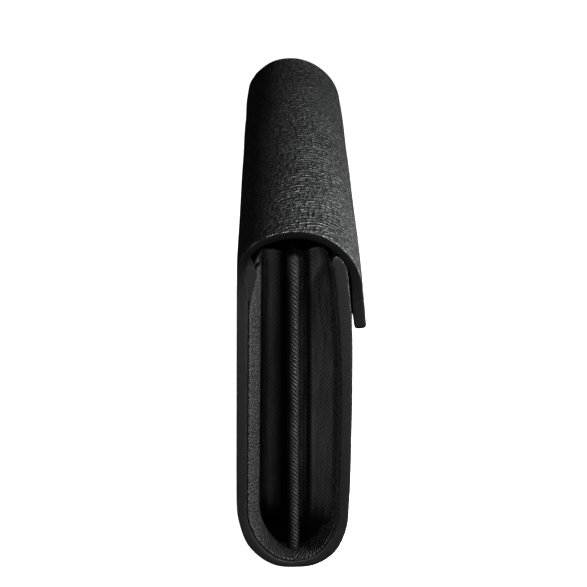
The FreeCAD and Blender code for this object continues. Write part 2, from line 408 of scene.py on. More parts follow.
def strip(name, path, span, near, far, materials, skin=None, free_end=0.0, corner=0.0, inset=0.0, swell=None,
          pad=None):
    """A layer of a wall between two distances along the path. near and far are its depths. With a skin it is
    leather of that thickness, turned over the ends of the case and creased beside them. inset draws it in
    from those ends. swell and pad are functions of x and the distance: how far its outside and its inside
    stand out."""
    wrapped = skin is not None
    x, share, trim = strip_section(EDGE_BULGE if wrapped else LINING_BULGE, wrapped)
    distances = stations(*span, free_end > 0)
    near_rows, far_rows = [], []
    for s in distances:
        d_near, d_far = at_distance(near, s), at_distance(far, s)
        left = span[1] - s
        if free_end and left < free_end:
            pull = 1 - math.sqrt(max(0.0, 1 - (1 - left / free_end) ** 2))
            reach = 0.46 * pull * (d_far - d_near)
            d_near, d_far = d_near + reach, d_far - reach
        half_shrink = 0.0
        if corner and left < corner:
            half_shrink = corner - math.sqrt(max(0.0, corner ** 2 - (corner - left) ** 2))
        scale = (HALF_LENGTH - half_shrink - inset) / HALF_LENGTH
        point, inward = path.at(s)
        from_end = HALF_LENGTH - np.abs(x)
        unevenness = WALL_SWAY * smooth(from_end, 1.5, 12.0) * waves(x, s, path.seed, WALL_WAVE)
        thickness = d_far - d_near
        outer = d_near + share * thickness + unevenness
        if wrapped:
            outer = outer + CREASE_DEPTH * hump(from_end, CREASE_INSET, CREASE_WIDTH) * (share == 0)
        if swell is not None:
            outer = outer - swell(x, s) * (1 - share)
        if wrapped:
            depth = min(at_distance(skin, s), thickness - LAYER_GAP)
            if free_end:
                depth += (thickness - LAYER_GAP - depth) * float(smooth(-left, -1.5, -1.0))
            inner = d_near + depth + share * (thickness - depth) + unevenness
            inner_x = np.clip(x, -(HALF_LENGTH - TURNED_EDGE), HALF_LENGTH - TURNED_EDGE)
        else:
            inner = d_far - share * thickness + unevenness
            inner_x = x
            if pad is not None:
                inner = inner + pad(x, s) * (1 - share)
        for depths, xs, rows in ((outer, x, near_rows), (inner, inner_x, far_rows)):
            rows.append(in_frame(xs * scale, point[0] + inward[0] * depths, point[1] + inward[1] * depths))
    around = np.concatenate([[0], np.cumsum(np.hypot(np.diff(x), np.diff(share) * GRAIN_DEPTH))])
    across = around - around[len(x) // 2]
    return solid(name, np.array(near_rows), np.array(far_rows), distances, across, materials, trim)


def spot(forward, up):
    return tuple(float(c) for c in in_frame(np.array(0.0), forward, up))


def point_on(path, distance):
    return spot(*path.at(distance)[0])


# Materials
class Look:
    """A material in the making, and the few nodes that the looks are built from. Its lengths are in mm."""

    def __init__(self, name):
        self.material = bpy.data.materials.new(name)
        self.material.use_nodes = True
        self.nodes = self.material.node_tree.nodes
        self.link = self.material.node_tree.links.new
        self.shader = self.nodes["Principled BSDF"].inputs

    def set(self, name, value):
        """Gives a socket of the shader a constant, or links a node's output to it."""
        if isinstance(value, bpy.types.NodeSocket):
            self.link(value, self.shader[name])
        else:
            self.shader[name].default_value = value

    def add(self, kind, vector=None, **values):
        """A new node, with constants in the sockets of these names."""
        node = self.nodes.new(f"ShaderNode{kind}")
        for name, value in values.items():
            node.inputs[name.replace("_", " ")].default_value = value
        if vector is not None:
            self.link(vector, node.inputs["Vector"])
        return node

    def mapped(self, vector, turn, stretch=(1.0, 1.0)):
        node = self.add("Mapping", vector, Rotation=(0, 0, math.radians(turn)), Scale=(*stretch, 1.0))
        return node.outputs["Vector"]

    def grain(self, turn=0.0, stretch=(1.0, 1.0)):
        """The leather's own coordinates, turned in its surface."""
        node = self.add("UVMap")
        node.uv_map = GRAIN_MAP
        return self.mapped(node.outputs["UV"], turn, stretch)

    def across_and_along(self):
        node = self.add("SeparateXYZ")
        self.link(self.grain(), node.inputs[0])
        return node.outputs[0], node.outputs[1]

    def place(self):
        """Coordinates in metres, for what has no grain."""
        return self.add("TexCoord").outputs["Object"]

    def noise(self, vector, scale, detail=2.0, roughness=0.5):
        return self.add("TexNoise", vector, Scale=scale, Detail=detail, Roughness=roughness).outputs["Fac"]

    def pebbles(self, scale):
        return self.add("TexVoronoi", self.grain(), Scale=scale).outputs["Distance"]

    def hatch(self, vector, pitch, wobble, wobble_scale=1.3):
        """Broken parallel lines at a pitch."""
        node = self.add("TexWave", vector, Scale=2 * math.pi / 20 / pitch, Distortion=wobble, Detail=2.0,
                        Detail_Scale=wobble_scale)
        node.bands_direction = "Y"
        return node.outputs["Fac"]

    def math(self, operation, *values):
        node = self.add("Math")
        node.operation = operation
        for socket, value in zip(node.inputs, values):
            if isinstance(value, (int, float)):
                socket.default_value = value
            else:
                self.link(value, socket)
        return node.outputs[0]

    def times(self, first, second):
        return self.math("MULTIPLY", first, second)

    def layered(self, first, share, second):
        """The first height times its share, plus the second height."""
        return self.math("MULTIPLY_ADD", first, share, second)

    def ramp(self, value, *stops):
        """A colour that follows a value through stops, each a position and a grey or a colour."""
        node = self.add("ValToRGB")
        stops = [(at, shade if isinstance(shade, tuple) else (shade,) * 3) for at, shade in stops]
        for element, (at, colour) in zip(node.color_ramp.elements, (stops[0], stops[-1])):
            element.position = at
            element.color = (*colour, 1)
        for at, colour in stops[1:-1]:
            node.color_ramp.elements.new(at).color = (*colour, 1)
        self.link(value, node.inputs["Fac"])
        return node.outputs["Color"]

    def relief(self, height, depth):
        """Bump from a height in 0 to 1 over a depth."""
        node = self.add("Bump", Strength=1.0, Distance=depth * MM)
        self.link(height, node.inputs["Height"])
        self.set("Normal", node.outputs["Normal"])

    def leather(self, height, depth, dark, light, roughness, specular):
        """The finished material: colour and roughness follow the height, which also gives the relief."""
        tone = self.noise(self.grain(), 0.045, 3.0)
        mixed = self.layered(height, 0.7, self.times(tone, 0.3))
        self.set("Base Color", self.ramp(mixed, (0.3, dark), (0.66, light)))
        self.set("Roughness", self.ramp(mixed, (0.1, roughness[0]), (0.9, roughness[1])))
        self.set("Specular IOR Level", specular)
        self.relief(height, depth)
        return self.material


def cross_grain_leather():
    """Black leather printed with two slanting sets of broken lines, with a painted highlight that makes it
    lighter along the ends of the case.
    """
    look = Look("black_cross_grain_leather")
    weave = look.add("Mix")
    patches = look.noise(look.grain(), 0.12, 3.0)
    look.link(look.ramp(patches, (0.5, 0), (0.66, 1)), weave.inputs[0])
    look.link(look.hatch(look.grain(-62), 2.0, 5.0), weave.inputs[2])
    look.link(look.hatch(look.grain(60), 1.9, 5.0), weave.inputs[3])
    broken = look.noise(look.grain(stretch=(0.5, 1.0)), 0.7, 2.0)
    lines = look.times(weave.outputs[0], look.ramp(broken, (0.38, 0.2), (0.58, 1)))
    pores = look.noise(look.grain(stretch=(0.34, 1.0)), 1.4, 2.5, 0.6)
    off_middle = look.times(look.math("ABSOLUTE", look.across_and_along()[0]), 0.01)
    # Painted highlight: a band along the ends of the case is made lighter.
    painted_highlight = look.ramp(off_middle, (0.917, 0), (0.932, 0.3))
    height = look.layered(pores, 0.64, look.layered(lines, 0.42, painted_highlight))
    return look.leather(height, 1.75, (0.001, 0.0011, 0.0012), (0.04, 0.0405, 0.0412), (0.52, 0.36), 0.5)


def edge_paint():
    """Smooth black paint over the cut and turned edges."""
    look = Look("painted_edge")
    paint = look.noise(look.grain(stretch=(1.0, 0.35)), 1.6, 3.0)
    return look.leather(paint, 0.05, (0.006, 0.006, 0.0062), (0.010, 0.010, 0.0102), (0.42, 0.5), 0.35)


def flap_edge_paint():
    """The same paint, darker overall and painted with shade: duller and darker still along the top of the
    flap.
    """
    look = Look("painted_flap_edge")
    reach = TIP + 20.0
    along = look.times(look.math("ABSOLUTE", look.across_and_along()[1]), 1 / reach)
    # Painted shade: colour and shine fall along the top of the flap and come back towards its tip.
    painted_shade_on_flap = look.ramp(along, (BACK_SPLIT / reach, 1.1), ((HINGE + 4.0) / reach, 0.15),
                        (SHOULDER / reach, 0.25), (TIP / reach, 0.75))
    paint = look.times(look.noise(look.grain(stretch=(1.0, 0.35)), 1.6, 3.0), painted_shade_on_flap)
    return look.leather(paint, 0.05, (0.001, 0.001, 0.0011), (0.010, 0.010, 0.0102), (0.55, 0.42),
                        look.layered(painted_shade_on_flap, 0.28, 0.04))


def lining_leather():
    """Smooth thin calf leather with a soft pebble."""
    look = Look("black_lining_leather")
    height = look.layered(look.pebbles(1.7), 0.55, look.times(look.noise(look.grain(), 3.5, 3.0), 0.45))
    return look.leather(height, 0.03, (0.003, 0.003, 0.0031), (0.006, 0.006, 0.0061), (0.6, 0.7), 0.25)


def flank_leather():
    """Finely pebbled gusset leather, creased under the bottom, with a painted highlight along its outer edge.
    """
    look = Look("gusset_pebble_leather")
    across, along = look.across_and_along()
    under = look.ramp(look.times(along, 0.05), (0.5, 1), (0.9, 0))
    creases = look.times(look.layered(look.hatch(look.grain(-35), 1.1, 3.0), 0.9, -0.6), under)
    fine = look.noise(look.grain(), 1.7, 2.5, 0.55)
    pebble = look.layered(look.pebbles(1.7), 0.5, look.layered(fine, 1.6, -0.58))
    # Painted highlight: the bead along the outer edge is made lighter.
    painted_highlight = look.ramp(look.math("ABSOLUTE", across), (0.75, 0.5), (1.0, 0))
    height = look.math("ADD", creases, look.math("ADD", pebble, painted_highlight))
    return look.leather(height, 0.75, (0.001, 0.0011, 0.0013), (0.0195, 0.0199, 0.0205), (0.44, 0.56), 0.42)


def stretched_leather():
    """Gusset leather drawn over a fold, with slanting stretch lines. A painted highlight lightens it at the
    top, and painted light and shade make it lighter towards the front than at the back."""
    look = Look("gusset_stretched_leather")
    across, along = look.across_and_along()
    over_fold = look.ramp(look.times(look.math("ABSOLUTE", across), 0.2), (0.36, 1), (0.46, 0))
    # Painted highlight at the top of the ridge.
    painted_highlight = look.ramp(look.times(look.math("ABSOLUTE", along), 0.01), (0.78, 0), (0.87, 0.6))
    # Painted light and shade: lighter, with more shine, on the side towards the front and darker on the back.
    painted_side_light = look.ramp(look.layered(across, 0.2, 0.5), (0.25, 0.35), (0.68, 1), (0.9, 0.6))
    patches = look.noise(look.grain(stretch=(1.0, 0.35)), 0.35, 2.0)
    strength = look.times(over_fold, look.ramp(patches, (0.35, 0.6), (0.62, 1)))
    lines = look.times(look.hatch(look.grain(44), 0.85, 2.2), strength)
    fine = look.noise(look.grain(), 3.0, 4.0, 0.6)
    height = look.times(look.layered(lines, 0.5, look.layered(fine, 0.6, painted_highlight)), painted_side_light)
    return look.leather(height, 0.55, (0.001, 0.0012, 0.0014), (0.044, 0.0445, 0.0452), (0.42, 0.52),
                        look.times(painted_side_light, 0.5))


def pleat_leather(name, line_share, streak_share, dark, light, towards_ridge, up_the_fold):
    """Gusset leather in a pleat: lines that meet in a V along the fold, and streaks down it. Painted shade
    darkens it towards the ridge, and painted light and shade change it up the fold, as two sets of stops say."""
    look = Look(name)
    across, along = look.across_and_along()
    off_fold = look.math("ABSOLUTE", across)
    mirrored = look.add("CombineXYZ")
    look.link(off_fold, mirrored.inputs[0])
    look.link(along, mirrored.inputs[1])
    lines = look.hatch(look.mapped(mirrored.outputs[0], -52), 0.8, 1.6, 1.0)
    near_fold = look.ramp(look.times(off_fold, 0.15), (0.62, 1), (0.72, 0))
    streaks = look.noise(look.grain(stretch=(1.0, 0.12)), 0.9, 3.0)
    both = look.layered(look.times(lines, near_fold), line_share, look.times(streaks, streak_share))
    height = look.layered(look.noise(look.grain(), 3.0, 4.0, 0.6), 0.25, both)
    # Painted shade and light: colour and shine are scaled across the pleat and up the fold.
    painted_shade_in_pleat = look.times(look.ramp(look.times(across, 1 / PLEAT_GRAIN_WIDTH), *towards_ridge),
                           look.ramp(look.times(along, 1 / PLEAT_GRAIN_HEIGHT), *up_the_fold))
    return look.leather(look.times(height, painted_shade_in_pleat), 0.25, dark, light, (0.5, 0.6),
                        look.times(painted_shade_in_pleat, 0.42))


def board_stock():
    """Grey bookbinding board."""
    look = Look("grey_board")
    fibres = look.noise(look.place(), 900.0, 4.0, 0.7)
    look.set("Base Color", look.ramp(fibres, (0.3, (0.16, 0.15, 0.14)), (0.7, (0.30, 0.29, 0.27))))
    look.set("Roughness", 0.9)
    look.relief(fibres, 0.03)
    return look.material


def plated_metal(name, dark, light):
    """Plated steel with a turned finish."""
    look = Look(name)
    scuffs = look.noise(look.place(), 1500.0, 3.0, 0.6)
    look.set("Base Color", look.ramp(scuffs, (0.3, dark), (0.7, light)))
    look.set("Roughness", look.ramp(scuffs, (0.2, 0.24), (0.8, 0.4)))
    look.set("Metallic", 1.0)
    look.relief(scuffs, 0.006)
    return look.material


def studio_white():
    """A pale floor's paint, which glows a little."""
    look = Look("pale_floor")
    tone = look.noise(look.place(), 3.0, 2.0)
    look.set("Base Color", look.ramp(tone, (0.3, 0.93), (0.7, 0.96)))
    look.set("Roughness", 0.8)
    look.set("Emission Color", (1, 1, 1, 1))
    look.set("Emission Strength", FLOOR_GLOW)
    return look.material


# Walls
def keep(piece, nodes=(), body=None, bend=None):
    """Hides the CAD nodes that a piece stands for, and attaches it to a body. A piece given a bend only has
    its transform baked in; the bend's bodies and points are not used."""
    if nodes:
        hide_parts(*nodes)
    if bend is None:
        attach(piece, body)
    else:
        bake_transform(piece)


def bottom_thinning(s):
    """How much thinner the walls are under the bottom, where no board stiffens them."""
    return BOTTOM_THINNING * (1 - smooth(s, 3.0, BOARD_START))


def tip_thickening(s):
    return TIP_THICKENING * smooth(s, CREST_MIDDLE, TIP - 1.0)


def flap_share(s):
    """0 on the back and 1 on the flap, between the two heights where the wall thins."""
    return float(smooth(s, THINNING_FROM, THINNING_TO))


def turned_depth(s):
    """How deep the leather turned over the ends reaches, which lessens from the back into the flap."""
    thin = flap_share(s)
    flap = FLAP_WALL - LAYER_GAP + tip_thickening(s)
    return (BACK_TURNED_EDGE - bottom_thinning(s)) * (1 - thin) + flap * thin


def lining_depth(s):
    return SHELL_LINING_AT - bottom_thinning(s)


def wall_depth(s):
    return SHELL_WALL - bottom_thinning(s)


def mouth_padding(path, s):
    """How much thicker the back is where the gusset's top edge is turned in behind its lining."""
    if path is not BACK:
        return 0.0
    return MOUTH_PADDING * float(smooth(s, PADDING_FROM, PADDING_TO))


def leather_skin(s):
    thin = flap_share(s)
    return SHELL_LEATHER * (1 - thin) + FLAP_LEATHER * thin


THINNING_FROM, THINNING_TO, BACK_SPLIT, PADDING_FROM, PADDING_TO = (
    distance_at_height(BACK, height)
    for height in (THINNING_START, THINNING_END, SPLIT_HEIGHT, *REAR_FLANK["narrows"]))
LINING_TOP = HINGE + 2.0
FRONT_END = FRONT.length()


def between_ends(x, reach):
    """0 at the ends of the case and 1 farther from them than a reach."""
    return smooth(HALF_LENGTH - np.abs(x), 0.0, reach)


def back_swell(x, s):
    """How far the leather of the back and the flap stands out. Its rear corner slumps towards the far end."""
    on_back = smooth(s, *WALL_START) * (1 - smooth(s, HINGE - 4.0, HINGE + 10.0))
    on_crest = smooth(s, HINGE + 4.0, CREST) * (1 - smooth(s, CREST_MIDDLE, SHOULDER + 6.0))
    on_front = smooth(s, CREST_MIDDLE, SHOULDER + 6.0)
    near_end = 1 - smooth(x, -70.0, HALF_LENGTH)
    slump = CORNER_SLUMP * hump(s - HINGE, SLUMP_AT, SLUMP_WIDTH) * smooth(x, 0.0, HALF_LENGTH)
    more = between_ends(x, END_FADE)
    under = BACK_UNDER_SWELL * smooth(s, 0.0, 5.0) * (1 - smooth(s, 6.0, 13.0))
    tuck = BACK_TUCK * hump(s, BACK_TUCK_AT, BACK_TUCK_WIDTH)
    return (on_back * (BACK_SWELL + BACK_SWELL_MORE * more) + on_crest * CREST_SWELL * near_end
            + on_front * (FLAP_SWELL + FLAP_SWELL_MORE * more) - slump + under - tuck)


def front_swell(x, s):
    """How far the front's leather stands out: most under the flap, which it meets between the ends."""
    mouth = smooth(FRONT.at(s)[0][1], *MOUTH_HEIGHTS)
    more = mouth * (MOUTH_SWELL + MOUTH_SWELL_MORE * between_ends(x, MOUTH_FADE))
    under = FRONT_UNDER_SWELL * smooth(s, 0.0, 7.0) * (1 - smooth(s, 10.0, 18.0))
    tuck = FRONT_TUCK * hump(s, FRONT_TUCK_AT, FRONT_TUCK_WIDTH)
    return smooth(s, *WALL_START) * (FRONT_SWELL + more) + under - tuck


def mouth_pad(x, s):
    """How far the back's lining stands in over the gusset's turned edge, at the ends of the mouth."""
    left = min(max(LINING_TOP - s, 0.0) / MOUTH_PAD_ROUNDING, 1.0)
    rounded = math.sqrt(1 - (1 - left) ** 2)
    return mouth_padding(BACK, s) * rounded * (1 - between_ends(x, MOUTH_PAD_REACH))


def flap_pad(x, s):
    """How far the flap's lining stands in towards the front."""
    return FLAP_PAD * smooth(s, SHOULDER - 5.0, SHOULDER + 5.0) * between_ends(x, MOUTH_FADE)


def bottom_bend(a, b, start, end):
    return a, b, spot(start, 0.0), spot(end, 0.0)


def flap_bend(a, b, middle, before=BEND_REACH, after=BEND_REACH):
    return a, b, point_on(BACK, middle - before), point_on(BACK, middle + after)


def cover(name, path, span, far, nodes, bend, edge="edge", **more):
    piece = strip(name, path, span, 0, far, (LOOKS["outer"], LOOKS[edge]), **more)
    keep(piece, nodes, bend=bend)


def lining(name, path, span, near, far, nodes, bend, inset=LINING_INSET, **more):
    piece = strip(name, path, span, near, far, (LOOKS["lining"], LOOKS["edge"]), inset=inset, **more)
    keep(piece, nodes, bend=bend)


def stiffener(name, path, span, leather, lining_at, nodes, bend):
    """A board or core that fills the wall between its leather and its lining."""
    piece = strip(name, path, span, leather + LAYER_GAP, lining_at - LAYER_GAP, (LOOKS["board"],),
                  inset=BOARD_INSET)
    keep(piece, nodes, bend=bend)


def build_back():
    bend = bottom_bend(*REAR_BEND)
    cover("back_cover", BACK, (0, BACK_SPLIT), turned_depth, ["back_leather"], bend, skin=SHELL_LEATHER,
          swell=back_swell)
    stiffener("back_stiffener", BACK, (BOARD_START, BACK_SPLIT), SHELL_LEATHER, SHELL_LINING_AT,
              ["back_board"], bend)
    lining("back_wall_lining", BACK, (0, BACK_SPLIT), lining_depth, wall_depth, ["back_lining"], bend,
           pad=mouth_pad)
    lining("back_mouth_lining", BACK, (BACK_SPLIT, LINING_TOP), SHELL_LINING_AT, SHELL_WALL, (),
           FLAP_BENDS["hinge"], inset=MOUTH_LINING_INSET, free_end=LINING_ROUNDING, pad=mouth_pad)


def build_front():
    bend = bottom_bend(*FRONT_BEND)
    inner_end = FRONT_END - LINING_SHORT
    cover("front_cover", FRONT, (0, FRONT_END), lambda s: wall_depth(s) - LAYER_GAP, ["front_leather"], bend,
          skin=SHELL_LEATHER, free_end=COVER_ROUNDING, swell=front_swell)
    stiffener("front_stiffener", FRONT, (BOARD_START, inner_end), SHELL_LEATHER, SHELL_LINING_AT,
              ["front_board"], bend)
    lining("front_wall_lining", FRONT, (0, inner_end), lining_depth, wall_depth, ["front_lining"], bend)


def build_flap():
    """The flap's three strips. The one at the hinge has no core of its own: the next one's reaches back into
    it."""
    spans = {"hinge": (BACK_SPLIT, REAR_MIDDLE), "top": (REAR_MIDDLE, CREST_MIDDLE),
             "front": (CREST_MIDDLE, TIP + TIP_FULLNESS)}
    starts = {"hinge": distance_at_height(BACK, FLAP_LINING_START), "top": REAR_MIDDLE, "front": CREST_MIDDLE}
    cores = {"top": ["flap_rear_core", "flap_crest_core"], "front": ["flap_tip_core"]}
    for place, (start, end) in spans.items():
        bend = FLAP_BENDS[place]
        tip = place == "front"
        inner_end = end - (LINING_SHORT if tip else 0.0)
        cover(f"flap_{place}_cover", BACK, (start, end), turned_depth, [f"{bend[1]}_leather"], bend,
              edge="flap_edge", skin=leather_skin, free_end=COVER_ROUNDING if tip else 0.0,
              corner=TIP_CORNER_RADIUS if tip else 0.0, swell=back_swell)
        lining(f"flap_{place}_lining", BACK, (starts[place], inner_end),
               lambda s: FLAP_LINING_AT + tip_thickening(s), lambda s: FLAP_WALL + tip_thickening(s),
               [f"{bend[1]}_lining"], bend, pad=flap_pad)
        if place in cores:
            core_start = HINGE + HINGE_BEND_AFTER + 2.0 if place == "top" else start
            stiffener(f"flap_{place}_stiffener", BACK, (core_start, inner_end), FLAP_LEATHER, FLAP_LINING_AT,
                      cores[place], bend)


# Gussets and divider
def sheet(name, grid, along, across, fullness, side, look):
    """A closed sheet of gusset leather behind a grid of (forward, inward, up) points at one end of the case.
    The fullness is its thickness as a share of the whole."""
    normal = np.cross(np.gradient(grid, axis=0), np.gradient(grid, axis=1))
    normal /= np.maximum(np.linalg.norm(normal, axis=-1, keepdims=True), 1e-9)
    if normal[normal.shape[0] // 2, :, 1].sum() < 0:
        normal = -normal
    middle = grid + normal * GUSSET_LEATHER / 2
    half = normal * (GUSSET_LEATHER / 2 * fullness)[..., None]
    near, far = (in_frame(side * (HALF_LENGTH - s[..., 1]), s[..., 0], s[..., 2])
                 for s in (middle - half, middle + half))
    return solid(name, near, far, along, across, (LOOKS[look],))


def edge_fullness(distance, count, radius=0.45):
    """The fullness of a row of points at a distance from a sheet's free edge, which is rounded."""
    inside = np.clip(1 - distance / radius, 0, 1)
    return np.full(count, np.sqrt(np.clip(1 - inside ** 2, 0.02, 1)))


def flank_curve(shelf, width, depth, turned):
    """A flank's section as (distance from the wall, inward): a bead against the wall, a flat shelf, a slope
    down, and a leg that turns inward at its edge."""
    slope = math.degrees(math.atan2(depth - FLANK_SETBACK, max(width - shelf, 0.3)))
    path = Path((-0.05, FLANK_SETBACK + 0.3), -50, wall_side=1)
    if shelf:
        path.turn(FLANK_BEAD, 50).run(shelf).turn(FLANK_BEAD, slope)
    else:
        path.turn(FLANK_BEAD, 50 + slope)
    path.run(math.hypot(width - shelf, depth - FLANK_SETBACK) * 0.8).turn(0.9, turned - slope * turned / 90)
    path.run(FLANK_LEG)
    lengths = np.concatenate([np.linspace(0, 1.5, 12)[:-1], np.linspace(1.5, path.length(), 20)])
    return path.along(lengths), lengths


def flank_shape(path, s, style):
    """The shelf, width, depth and turn of a flank at a distance along the wall."""
    floor = float(1 - smooth(abs(s), 5.0, 24.0))
    foot = 1 - smooth(abs(s), 1.5, 10.0)
    top = smooth(path.at(s)[0][1], *style["narrows"])
    width = style["width"] * (1 - floor) + FLOOR_RISE * floor
    width = width * (1 - top) + FLANK_TOP_WIDTH * top - 0.4 * foot
    depth = style["depth"] * (1 - floor) + FLOOR_DEPTH * floor
    depth = depth * (1 - top) + FLANK_TOP_DEPTH * top
    folded = style["folded"] * (1 - floor) + floor
    return style["shelf"] * (1 - floor) * (1 - top), width, depth, (94.0 + 14.0 * floor) * folded


def flank(name, path, style, top, side, seed):
    """The part of a gusset that lies against a wall, from the middle of the bottom to its top."""
    distances = stations(0.0, top)
    grid, across, full = [], [], []
    for s in distances:
        section, lengths = flank_curve(*flank_shape(path, s, style))
        point, inward = path.at(s)
        ripple = 0.06 * waves(lengths, s, seed, 9.0) * smooth(lengths, 0.8, 2.0)
        depths = wall_depth(s) + mouth_padding(path, s) + section[:, 0] + ripple
        forward, up = (point[axis] + inward[axis] * depths for axis in (0, 1))
        grid.append(np.stack([forward, section[:, 1], up], -1))
        across.append(lengths)
        full.append(edge_fullness(top - s, len(lengths)))
    return sheet(name, np.array(grid), distances, np.array(across), np.array(full), side, "flank")


def flank_point(path, style, height, share):
    """How far forward and inward the flank's surface is at a height, at a share of its slope's width, and how
    far the slope leans there from straight inward."""
    s = distance_at_height(path, height)
    shelf, width, depth, turned = flank_shape(path, s, style)
    section = flank_curve(shelf, width, depth, turned)[0]
    lateral = shelf + (width - shelf) * share
    deep = np.interp(lateral, np.maximum.accumulate(section[:, 0]), section[:, 1])
    point, inward = path.at(s)
    lean = math.degrees(math.atan2(width - shelf, depth - FLANK_SETBACK))
    return point[0] + inward[0] * (wall_depth(s) + mouth_padding(path, s) + lateral), deep, lean


def deep_pleat_section(width, start):
    """A pleat with nearly straight sides and a round bottom, as a path in (across, inward)."""
    radius = min(PLEAT_RADIUS, width * 0.36)
    lean = min(PLEAT_LEAN, width * 2.0)
    slope = Path((0, start), 90 - lean, wall_side=1)
    drop = PLEAT_DEPTH - radius * (1 - math.sin(math.radians(lean))) - start
    slope.run(drop / math.cos(math.radians(lean))).turn(radius, lean - 90)
    slope.run(max(width - radius - slope.point[0], 0.05)).turn(radius, -90)
    return slope.run(max(slope.point[1] - RIDGE_LEG_END, 0.05))


def shallow_pleat_section(width, start, lean):
    """A pleat that slopes all the way down to the ridge and turns up against it."""
    first, last = (radius * min(1.0, width / 5.0) for radius in SHALLOW_PLEAT_RADII)
    across = max(width - last - first * math.cos(math.radians(lean)), 0.1)
    deepest = SHALLOW_PLEAT_DEPTH - first * (1 - math.sin(math.radians(lean))) - start
    run = max(min(across / math.sin(math.radians(lean)), deepest / math.cos(math.radians(lean))), 0.1)
    slope = Path((0, start), 90 - lean, wall_side=1).run(run).turn(first, lean - 90)
    return slope.run(max(width - last - slope.point[0], 0.05)).turn(last, -90).run(0.3)


def rear_pleat_row(z):
    """Where the rear pleat starts at a height, which way it goes from there, and its section."""
    outer = flank_point(BACK, REAR_FLANK, z, 1.0)[0]
    hand = math.copysign(1, REAR_PLEAT_END - outer)
    outer -= hand * GUSSET_LEATHER
    start = REAR_FLANK["depth"] + GUSSET_LEATHER - 1.2 * float(smooth(z, 79, 87))
    return outer, hand, deep_pleat_section(max(abs(REAR_PLEAT_END - outer), 1.0), start)


def front_pleat_row(z):
    """The same of the front pleat, which starts halfway across its flank."""
    outer, start, lean = flank_point(FRONT, FRONT_FLANK, z, 0.5)
    width = abs(FRONT_PLEAT_END - outer)
    hand = math.copysign(1, FRONT_PLEAT_END - outer)
    return outer, hand, shallow_pleat_section(width, start - 0.05, min(lean + 4.0, 58.0))


def pleat(name, row, mouth, end, side, look, seed, columns=44):
    """A pleat from behind the flank's edge in to its bottom and out again to the ridge's leg."""
    heights = np.unique(np.concatenate([np.linspace(PLEAT_BOTTOM, mouth, 90),
                                        mouth - np.array([0.1, 0.25, 0.45, 0.7])]))
    grid, across, full = [], [], []
    for z in heights:
        outer, hand, section_path = row(z)
        lengths = np.linspace(0, section_path.length(), columns)
        section = section_path.along(lengths)
        calm = smooth(np.minimum(lengths, section_path.length() - lengths), 0.2, 2.0)
        ripple = 0.16 * waves(lengths, z * 0.25, seed, 6.0) * calm
        off_middle = np.abs(2 * lengths / lengths[-1] - 1)
        sag = PLEAT_SAG * smooth(z, mouth - 12.0, mouth) * (1 - np.sqrt(1 - 0.98 * off_middle ** 2))
        receding = 3.0 * (1 - smooth(z, PLEAT_BOTTOM, 13.0)) * smooth(lengths, 0.0, 4.0)
        grid.append(np.stack([outer + hand * section[:, 0], section[:, 1] + ripple + receding, z - sag], -1))
        beyond = lengths - np.interp(abs(end - outer) * GRAIN_FOLD_SHARE, section[:, 0], lengths)
        across.append(np.where(beyond > 0, beyond * PLEAT_GRAIN_WIDTH / beyond[-1], beyond))
        full.append(edge_fullness(mouth - z, columns))
    return sheet(name, np.array(grid), heights, np.array(across), np.array(full), side, look)


def ridge(name, side):
    """The leather folded round the divider's edge, with a rounded top and a flare to the front."""
    round_over = [RIDGE_TOP - RIDGE_ROUNDING * (1 - math.sin(math.radians(a))) for a in range(10, 91, 10)]
    straight = np.linspace(RIDGE_BOTTOM, RIDGE_TOP - RIDGE_ROUNDING, 110)
    heights = np.unique(np.concatenate([straight, round_over]))
    fold = Path((-2.0, RIDGE_LEG_END), -90, wall_side=1).run(RIDGE_BACK_LEG).turn(RIDGE_RADIUS, 180)
    fold.turn(5.0, -RIDGE_FLARE)
    fold.run((RIDGE_LEG_END - fold.point[1]) / math.cos(math.radians(RIDGE_FLARE)))
    lengths = np.linspace(0, fold.length(), 46)
    section = fold.along(lengths)
    section[:, 1] += RIDGE_SETBACK - section[:, 1].min()
    grid, full = [], []
    for z in heights:
        above = max(0.0, 1 - (RIDGE_TOP - z) / RIDGE_ROUNDING)
        below = max(0.0, 1 - (z - RIDGE_BOTTOM) / 0.8)
        squeeze = math.sqrt(max(1 - above ** 2, 0.02)) * (1 - 0.1 * below ** 2)
        ripple = 0.07 * waves(lengths * 0.6, z, 21, 11.0)
        forward = RIDGE_MIDDLE + (section[:, 0] + 0.25) * squeeze + ripple
        inward = section[:, 1] + (1.0 - squeeze) * 1.2 + 0.05 * waves(lengths, z, 23, 7.0)
        grid.append(np.stack([forward, inward, np.full(len(lengths), z)], -1))
        full.append(edge_fullness(z - RIDGE_BOTTOM, len(lengths)))
    across = lengths - RIDGE_BACK_LEG - RIDGE_RADIUS * math.pi / 2
    return sheet(name, np.array(grid), heights, across, np.array(full), side, "ridge")


def build_gussets():
    front_top = distance_at_height(FRONT, FRONT_FLANK_TOP)
    for end, side in (("left", -1), ("right", 1)):
        rear = flank(f"{end}_rear_flank", BACK, REAR_FLANK, HINGE + 2.4, side, 11)
        keep(rear, [f"{end}_gusset_back"], bend=bottom_bend(*REAR_BEND))
        front = flank(f"{end}_front_flank", FRONT, FRONT_FLANK, front_top, side, 12)
        keep(front, [f"{end}_gusset_front"], bend=bottom_bend(*FRONT_BEND))
        keep(ridge(f"{end}_ridge", side), [f"{end}_gusset_centre"], body="divider")
        rear = pleat(f"{end}_rear_pleat", rear_pleat_row, REAR_PLEAT_TOP, REAR_PLEAT_END, side, "pleat", 13)
        keep(rear, bend=bottom_bend(*REAR_PLEAT_BEND))
        front = pleat(f"{end}_front_pleat", front_pleat_row, FRONT_PLEAT_TOP, FRONT_PLEAT_END, side,
                      "chevron", 14)
        keep(front, bend=bottom_bend(*FRONT_PLEAT_BEND))


